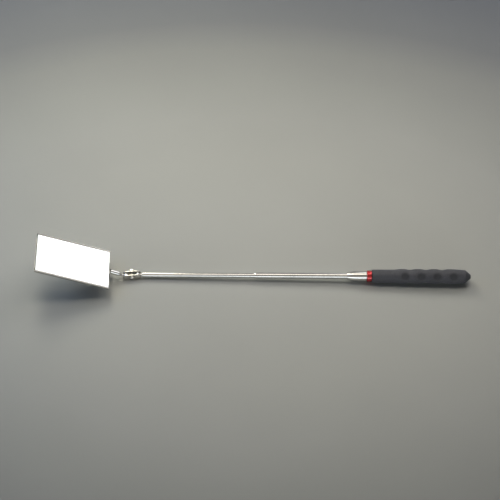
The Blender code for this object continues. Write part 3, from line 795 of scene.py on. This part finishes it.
def make_screw(place, steel):
    """Round-headed screw with a cut thread and a slot, its axis local X."""
    tip = NUT_FACE - NUT_HEIGHT - SCREW_TIP
    top = UNDER_HEAD + SCREW_HEAD_HEIGHT
    dome_from = UNDER_HEAD + SCREW_RIM
    thread, shape = threaded(tip + 0.3 * MM, UNDER_HEAD - 1.2 * MM)
    head = rounded([(UNDER_HEAD, SCREW_RADIUS, 0), (UNDER_HEAD, SCREW_HEAD_RADIUS, 0.25 * MM),
                    (dome_from, SCREW_HEAD_RADIUS, 0)])
    dome = dome_points(dome_from, top, SCREW_HEAD_RADIUS, 14)[1:]
    body = lathe([(tip, 0), (tip, SCREW_RADIUS - 0.32 * MM)] + thread + head + dome + [(top, 0)],
                 sides=64, shape=shape)
    half, floor, over = SLOT_HALF_WIDTH, top - SLOT_DEPTH, top + MM
    slot = prism([(-half, floor), (half, floor), (half, over), (-half, over)], -4 * MM, 4 * MM, "zxy")
    screw = carve(body, ("DIFFERENCE", slot, Matrix.Rotation(SLOT_TURN, 4, "X")))
    finish_piece("screw_slotted", screw, place, steel, "clamp", ["clamp_screw"])


def make_washer(place, steel):
    """Split spring washer: a rounded section swept round with a slight rise."""
    builder = bmesh.new()
    sections = []
    steps, slit, rise, soft = 60, math.radians(14), 0.1 * MM, 0.1 * MM
    inner, outer, thick = SCREW_HOLE_RADIUS, WASHER_RADIUS, WASHER_THICKNESS
    corners = rounded([(inner, 0, soft), (outer, 0, soft), (outer, thick, soft), (inner, thick, soft)],
                      closed=True, step=math.radians(45))
    for k in range(steps + 1):
        angle = slit / 2 + (math.tau - slit) * k / steps
        across, up = math.cos(angle), math.sin(angle)
        face = WASHER_FACE + rise * (k / steps - 0.5)
        sections.append([builder.verts.new((face - x, r * across, r * up)) for r, x in corners])
    skin(builder, sections, capped=True)
    finish_piece("washer_split", builder, place, steel, "clamp", ["clamp_spring_washer"])


def make_nut(place, steel):
    """Hexagon nut with chamfered corners and a countersunk hole."""
    flat, corner = NUT_ACROSS_FLATS / 2, NUT_ACROSS_FLATS / math.sqrt(3)
    back = NUT_FACE - NUT_HEIGHT
    hexagon = [(corner * math.cos(math.pi / 3 * k), corner * math.sin(math.pi / 3 * k)) for k in range(6)]
    face_radius, wide = flat * 0.97, corner * 1.001
    drop = (corner - face_radius) * 0.55
    chamfer = lathe([(back, 0), (back, face_radius), (back + drop, wide), (NUT_FACE - drop, wide),
                     (NUT_FACE, face_radius), (NUT_FACE, 0)], sides=96)
    bore, flare, sink = SCREW_RADIUS + 0.12 * MM, SCREW_RADIUS + MM, 0.3 * MM
    hole = lathe([(back - MM, 0), (back - MM, flare), (back + sink, bore), (NUT_FACE - sink, bore),
                  (NUT_FACE + MM, flare), (NUT_FACE + MM, 0)], sides=64)
    nut = carve(prism(hexagon, back, NUT_FACE, "yzx"),
                ("INTERSECT", chamfer, Matrix()), ("DIFFERENCE", hole, Matrix()))
    finish_piece("nut_hexagon", nut, place, steel, "clamp", ["clamp_nut"], sharp=20)


def make_clamp():
    make_plates()
    place = CLAMP_ACROSS @ Matrix.Translation((0, -BALL_SPACING / 2, 0))
    steel = plated_steel("screw steel", place, (0.1, 2, 2),
                         tone=(0.56, 0.55, 0.52), shine=(0.16, 0.26))
    for make in (make_screw, make_washer, make_nut):
        make(place, steel)


# ---- mirror head

def make_stem():
    """Round rod with a tapered start, pressed at its far end into a flat tongue set low."""
    builder = bmesh.new()
    tongue_mid, half = TONGUE_TOP - TONGUE_THICKNESS / 2, TONGUE_THICKNESS / 2
    start, full = STEM_START - STEM_BEND_AT, STEM_FULL - STEM_BEND_AT
    # stations: place, height, half width, half height, squareness (2 is round)
    stations = [(start + x * MM, 0.0, r * MM, r * MM, 2.0) for x, r in ((0, 1.45), (0.15, 1.66))]
    for k in range(1, 9):
        r = STEM_TAPER_RADIUS + (STEM_RADIUS - STEM_TAPER_RADIUS) * ease(0.12 + 0.88 * k / 8)
        stations.append((start + (full - start) * k / 8, 0.0, r, r, 2.0))
    for k in range(1, 8):
        stations.append((full + (STEM_ROUND_TO - full) * k / 7, 0.0, STEM_RADIUS, STEM_RADIUS, 2.0))
    for k in range(1, 9):
        t = ease(k / 8)
        stations.append((STEM_ROUND_TO + (TONGUE_FROM - STEM_ROUND_TO) * k / 8, tongue_mid * t,
                         STEM_RADIUS + (TONGUE_HALF_WIDTH - STEM_RADIUS) * t,
                         STEM_RADIUS + (half - STEM_RADIUS) * t, 2.0 + 2.0 * t))
    for k in range(1, 11):
        t = k / 10
        x = TONGUE_FROM + (TONGUE_LENGTH - TONGUE_FROM) * t
        nose = max(0.0, (x - TONGUE_LENGTH + 2.5 * MM) / (2.5 * MM))
        stations.append((x, tongue_mid, TONGUE_HALF_WIDTH - 1.2 * MM * nose * nose, half, 4.0))
    rings = []
    for x, height, half_width, half_height, squareness in stations:
        ring = []
        for k in range(56):
            angle = math.tau * k / 56
            across, up = math.cos(angle), math.sin(angle)
            y = half_width * math.copysign(abs(across) ** (2 / squareness), across)
            z = height + half_height * math.copysign(abs(up) ** (2 / squareness), up)
            bend = TONGUE_BEND if x > 0 else 0.0
            point = Vector((x * math.cos(bend) + z * math.sin(bend), y,
                            z * math.cos(bend) - x * math.sin(bend)))
            ring.append(builder.verts.new(point + Vector((STEM_BEND_AT, 0, 0))))
        rings.append(ring)
    skin(builder, rings, capped=True)
    polish = chrome("stem chrome", STEM_FRAME, (9, 0.2, 0.2))
    finish_piece("stem_rod", builder, STEM_FRAME, polish, "mirror_head", ["stem"])


def end_tab(middle):
    """Outline of one of the tray's low end tabs, about a middle line."""
    side, low, top, taper = END_TAB_WIDTH / 2, TRAY_BACK + 0.08 * MM, GLASS_BOTTOM + 0.9 * MM, 0.6 * MM
    return rounded([(middle - side, low, 0), (middle + side, low, 0), (middle + side - taper, top, MM),
                    (middle - side + taper, top, MM)], closed=True)


def make_tray():
    """Sheet folded over the glass along both long edges, with tabs at its ends and rivet holes."""
    wall, floor_line = GLASS_HALF_WIDTH + FIT + SHEET / 2, TRAY_BACK + SHEET / 2
    low, high = GLASS_START - FIT - SHEET, GLASS_END + FIT + SHEET
    lip, fold, corner = GLASS_TOP + FIT + SHEET / 2, 0.42 * MM, 0.6 * MM
    path = rounded([(-LIP_EDGE, lip, 0), (-wall, lip + LIP_RISE, fold), (-wall, floor_line, corner),
                    (wall, floor_line, corner), (wall, lip + LIP_RISE, fold), (LIP_EDGE, lip, 0)],
                   step=math.radians(12))
    inside = 0.05 * MM
    tabs = [("UNION", prism(end_tab(middle), x, x + SHEET - 2 * inside, "yzx"), Matrix())
            for x in (low + inside, high - SHEET + inside) for middle in (END_TAB_OUT, -END_TAB_OUT)]
    tray = carve(prism(thickened(path, SHEET), low, high, "yzx"), *tabs, *rivet_holes(MM))
    steel = plated_steel("tray steel", PLATE_FRAME, (9, 0.2, 0.2),
                         tone=(0.58, 0.565, 0.54), shine=(0.12, 0.24))
    finish_piece("tray_folded", tray, PLATE_FRAME, steel, "mirror_head", ["mirror_frame"])


def make_glass():
    """Bevelled plate: silvered top, ground edges, painted back."""
    bevel, wide = 0.35 * MM, GLASS_HALF_WIDTH
    outline = [(-wide, GLASS_START), (wide, GLASS_START), (wide, GLASS_END), (-wide, GLASS_END)]
    middle = (GLASS_START + GLASS_END) / 2
    glass = bmesh.new()
    rings = []
    for inset, height in ((bevel, GLASS_BOTTOM), (0, GLASS_BOTTOM + bevel), (0, GLASS_TOP - bevel),
                          (bevel, GLASS_TOP)):
        corners = [(v - math.copysign(inset, v - middle), u - math.copysign(inset, u)) for u, v in outline]
        rings.append([glass.verts.new((x, y, height)) for x, y in corners])
    skin(glass, rings)
    for face in glass.faces:
        face.material_index = 1
    glass.faces.new(rings[0]).material_index = 2
    glass.faces.new(rings[-1]).material_index = 0
    looks = [silvered_glass(), ground_edge(), mirror_back_paint()]
    finish_piece("mirror_silvered", glass, PLATE_FRAME, looks, "mirror_head", ["mirror_glass"],
                 smooth=False)


def rivet_spots():
    along, across = RIVET_SPACING / 2, BRACKET_REACH - BRACKET_FLANGE / 2
    return [(BRACKET_MIDDLE + a * along, b * across) for b in (-1, 1) for a in (-1, 1)]


def rivet_frame(x, y):
    """Frame of a rivet with its local X straight out of the tray's back."""
    return Matrix.Translation((x, y, 0)) @ Matrix.Rotation(math.pi / 2, 4, "Y")


def rivet_holes(depth):
    """Steps for carve() that drill the rivets' holes, down to a depth below the rod's axis."""
    outline = [(-MM, 0), (-MM, RIVET_HOLE_RADIUS), (depth, RIVET_HOLE_RADIUS), (depth, 0)]
    return [("DIFFERENCE", lathe(outline, sides=32), rivet_frame(x, y)) for x, y in rivet_spots()]


def make_strap(steel):
    """Bridge over the stem's tongue with a flange along each side."""
    flange = TRAY_BACK - FIT - BRACKET_SHEET / 2
    crown = TONGUE_TOP - TONGUE_THICKNESS - FIT - BRACKET_SHEET / 2
    inner, reach, bend = TONGUE_HALF_WIDTH + GAP + BRACKET_SHEET / 2, BRACKET_REACH, 0.55 * MM
    path = rounded([(-reach, flange, 0), (-inner, flange, bend), (-inner, crown, bend),
                    (inner, crown, bend), (inner, flange, bend), (reach, flange, 0)])
    low, high, corner = BRACKET_MIDDLE - BRACKET_LENGTH / 2, BRACKET_MIDDLE + BRACKET_LENGTH / 2, 1.5 * MM
    footprint = rounded([(low, -reach, corner), (high, -reach, corner), (high, reach, corner),
                         (low, reach, corner)], closed=True)
    trim = prism(footprint, -6 * MM, 3 * MM, "xyz")
    strap = carve(prism(thickened(path, BRACKET_SHEET), low - MM, high + MM, "yzx"),
                  ("INTERSECT", trim, Matrix()), *rivet_holes(2.5 * MM))
    finish_piece("strap_riveted", strap, PLATE_FRAME, steel,
                 "mirror_head", ["stem_bracket"])


def make_rivets(steel):
    """Domed rivets, each in its rivet_frame()."""
    base = -TRAY_BACK - SHEET
    head_from = -(TRAY_BACK - FIT - BRACKET_SHEET) + 0.03 * MM
    dome_from, top = head_from + 0.2 * MM, head_from + RIVET_HEAD_HEIGHT
    dome = dome_points(dome_from, top, RIVET_HEAD_RADIUS, 9)
    outline = rounded([(base, 0, 0), (base, RIVET_RADIUS, 0.1 * MM), (head_from, RIVET_RADIUS, 0),
                       (head_from, RIVET_HEAD_RADIUS, 0.06 * MM), (*dome[0], 0)])
    for number, (x, y) in enumerate(rivet_spots(), 1):
        finish_piece(f"rivet_domed_{number}", lathe(outline + dome[1:] + [(top, 0)], sides=40),
                     PLATE_FRAME @ rivet_frame(x, y), steel,
                     "mirror_head", [f"bracket_rivet_{number}"])


# ---- hidden CAD nodes

def dress_hidden_nodes():
    """Finishes for the hidden pieces, which keep their CAD shape."""
    brass = bronze("turned brass", (0.62, 0.47, 0.22))
    spring = bronze("spring bronze", (0.55, 0.36, 0.17))
    tube = chrome("outer tube chrome", GRIP_FRAME, (14, 0.3, 0.3))
    finishes = {"outer_tube": tube, "tail_plug": brass, "mid_tail_plug": brass, "inner_tail_plug": brass,
                "mid_spring_clip": spring, "inner_spring_clip": spring, "backing_pad": foam_pad()}
    for node, material in finishes.items():
        obj = frame["nodes"][node]
        obj.data.materials.clear()
        obj.data.materials.append(material)


# ---- stage, lights and camera

FLOOR_RADIUS = 14.0
FLOOR_CLEARANCE = 0.15 * MM


def make_floor():
    """A pale grey table that the grip and the clamp rest on, a little uphill towards the mirror."""
    grip_touch = GRIP_FRAME.translation.x + 38 * MM
    clamp_touch = (shaft_ball.x + mirror_ball.x) / 2
    clamp_low = axis_point.z - PLATE_END_RADIUS - 0.1 * MM
    slope = clamp_low / (grip_touch - clamp_touch)
    builder = bmesh.new()
    bmesh.ops.create_circle(builder, cap_ends=True, radius=FLOOR_RADIUS, segments=96)
    floor = placed_object("floor", builder, Matrix())
    floor.location = (grip_touch, axis_point.y, -FLOOR_CLEARANCE)
    floor.rotation_euler = (0, math.atan(slope), 0)
    floor.data.materials.append(table_paint())


def table_paint():
    """Pale grey with a painted pool of light, brightest in the middle and darkest as painted shade in a
    wide ring round the tool, with faint clouds and grain.
    """
    finish = Finish("table", roughness=0.6, specular_ior_level=0.25)
    grain = finish.noise(0.7, detail=4.0)
    cloud = finish.noise(160, detail=3.0)
    # painted light and shade: a round gradient about a point near the tool brightens the floor's colour in
    # the middle, darkens it in a ring further out and pales it again far away
    light_pool_place = finish.node("ShaderNodeMapping", {"Vector": finish.position, "Location": (0.12, -0.02, 0.0),
                                             "Scale": (0.68, 1.0, 1.0)})
    light_pool_shape = finish.node("ShaderNodeTexGradient", {"Vector": light_pool_place.outputs["Vector"]},
                             gradient_type="SPHERICAL")
    painted_light_pool = finish.ramp(
        light_pool_shape.outputs["Fac"], (0.0, (0.44, 0.445, 0.45)), (0.36, (0.23, 0.24, 0.255)),
        (0.46, (0.190, 0.203, 0.232)), (0.565, (0.235, 0.243, 0.255)), (0.62, (0.315, 0.320, 0.312)),
        (0.69, (0.378, 0.382, 0.366)), (0.75, (0.432, 0.434, 0.415)), (0.83, (0.475, 0.476, 0.450)),
        (1.0, (0.515, 0.515, 0.490)))
    base = finish.times(painted_light_pool, finish.ramp(cloud, (0.3, 0.98), (0.7, 1.02)))
    finish.put("Base Color", finish.times(base, finish.ramp(grain, (0.2, 0.96), (0.8, 1.04))))
    return finish.bump((grain, 0.01)).material


def panel(name, place, target, width, height, radiance, colour):
    """A soft light panel at place facing target, as bright as radiance, with its width level."""
    light = bpy.data.lights.new(name, "AREA")
    light.shape = "RECTANGLE"
    light.size, light.size_y = width, height
    light.energy = radiance * math.pi * width * height
    light.color = colour
    obj = new_object(name, light)
    obj.location = place
    obj.rotation_euler = (target - place).to_track_quat("-Z", "Y").to_euler()


def towards(azimuth, elevation):
    """Unit vector; azimuth 0 is towards -Y and 90 towards +X."""
    a, e = math.radians(azimuth), math.radians(elevation)
    return Vector((math.sin(a) * math.cos(e), -math.cos(a) * math.cos(e), math.sin(e)))


def make_lights():
    tool = Vector((0.03, axis_point.y, axis_point.z))
    for name, azimuth, elevation, away, width, height, radiance, colour in (
            ("back key", 210, 41, 0.9, 0.32, 0.40, 6.6, (1.0, 0.98, 0.84)),
            ("back right", 136, 44, 0.9, 0.40, 0.36, 2.4, (0.98, 0.98, 1.0)),
            ("overhead", 180, 83, 0.9, 0.85, 0.24, 3.5, (1.0, 0.95, 0.84)),
            ("back far", 225, 58, 2.4, 1.0, 1.0, 1.3, (1.0, 0.95, 0.84)),
            ("low fill", 4, 9, 1.5, 1.9, 0.36, 3.0, (0.88, 0.95, 1.0)),
            ("left fill", 266, 32, 0.9, 0.35, 0.35, 2.5, (0.40, 0.62, 1.0))):
        panel(name, tool + towards(azimuth, elevation) * away, tool, width, height, radiance, colour)
    mirror = PLATE_FRAME @ Vector((GLASS_START + GLASS_LENGTH / 2, 0, 0))
    normal = PLATE_FRAME.to_3x3() @ Vector((0, 0, 1))
    to_camera = (camera_place() - mirror).normalized()
    bounce = 2 * normal.dot(to_camera) * normal - to_camera
    panel("mirror card", mirror + bounce * 1.3, mirror, 0.42, 0.42, 1.35, (1.0, 1.0, 1.0))


def make_world():
    """What the tool reflects around it, by height; it doesn't light matt surfaces."""
    world = bpy.data.worlds.new("studio")
    world.use_nodes = True
    tree = world.node_tree
    place = tree.nodes.new("ShaderNodeTexCoord").outputs["Generated"]
    height = new_node(tree, "ShaderNodeSeparateXYZ", {0: place}).outputs["Z"]
    shifted = new_node(tree, "ShaderNodeMath", {0: height, 1: 0.5, 2: 0.5}, operation="MULTIPLY_ADD")
    ramp = new_node(tree, "ShaderNodeValToRGB", {"Fac": shifted.outputs[0]})
    fill_ramp(ramp, ((0.0, (0.30, 0.30, 0.30)), (0.5, (0.42, 0.42, 0.41)),
                     (0.85, (0.42, 0.41, 0.39)), (1.0, (0.26, 0.23, 0.19))))
    tree.links.new(ramp.outputs["Color"], tree.nodes["Background"].inputs["Color"])
    world.cycles_visibility.diffuse = False
    bpy.context.scene.world = world


CAMERA_ELEVATION = math.radians(50)
CAMERA_ROLL = math.radians(0.34)
CAMERA_DISTANCE = 1.7
CAMERA_LENS = 104.17
# the picture's middle, right of and above the shaft ball as the camera sees it
AIM_RIGHT = 131.71 * MM
AIM_UP = 29.88 * MM


def camera_axes():
    """The camera's right, up and back directions, without its roll."""
    right = Vector((1, 0, 0))
    back = Vector((0, -math.cos(CAMERA_ELEVATION), math.sin(CAMERA_ELEVATION)))
    return right, back.cross(right), back


def camera_place():
    right, up, back = camera_axes()
    return shaft_ball + right * AIM_RIGHT + up * AIM_UP + back * CAMERA_DISTANCE


def make_camera():
    right, up, back = camera_axes()
    data = bpy.data.cameras.new("camera")
    data.lens = CAMERA_LENS
    data.sensor_width = 36.0
    camera = new_object("camera", data)
    turn = Matrix((right, up, back)).transposed().to_4x4() @ Matrix.Rotation(CAMERA_ROLL, 4, "Z")
    camera.matrix_world = Matrix.Translation(camera_place()) @ turn
    bpy.context.scene.camera = camera


make_camera()
make_grip()
make_ring()
make_ferrule()
mid_mouth = box_size("inner_tube").z / 2 + 0.17 * MM
make_tube("tube_mid", "mid_tube", MID_FRAME, MID_WALL, mid_mouth, "mid_section")
make_tube("tube_inner", "inner_tube", INNER_FRAME, INNER_WALL, 2.4 * MM, "inner_section")
stud_end = (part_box("shaft_ball_stud")[1] - shaft_ball).x
make_stud("stud_shaft", "shaft_ball_stud", SHAFT_STUD_FRAME, 6.8 * MM, 2.4 * MM, stud_end, "inner_section")
make_stud("stud_mirror", "mirror_ball_stud", STEM_FRAME, 5.4 * MM, 1.7 * MM, 6.0 * MM, "mirror_stud")
make_clamp()
make_stem()
make_tray()
make_glass()
strap_steel = plated_steel("strap steel", PLATE_FRAME, (0.2, 6, 6))
make_strap(strap_steel)
make_rivets(strap_steel)
dress_hidden_nodes()
make_floor()
make_lights()
make_world()
bpy.context.scene.view_settings.view_transform = "Standard"
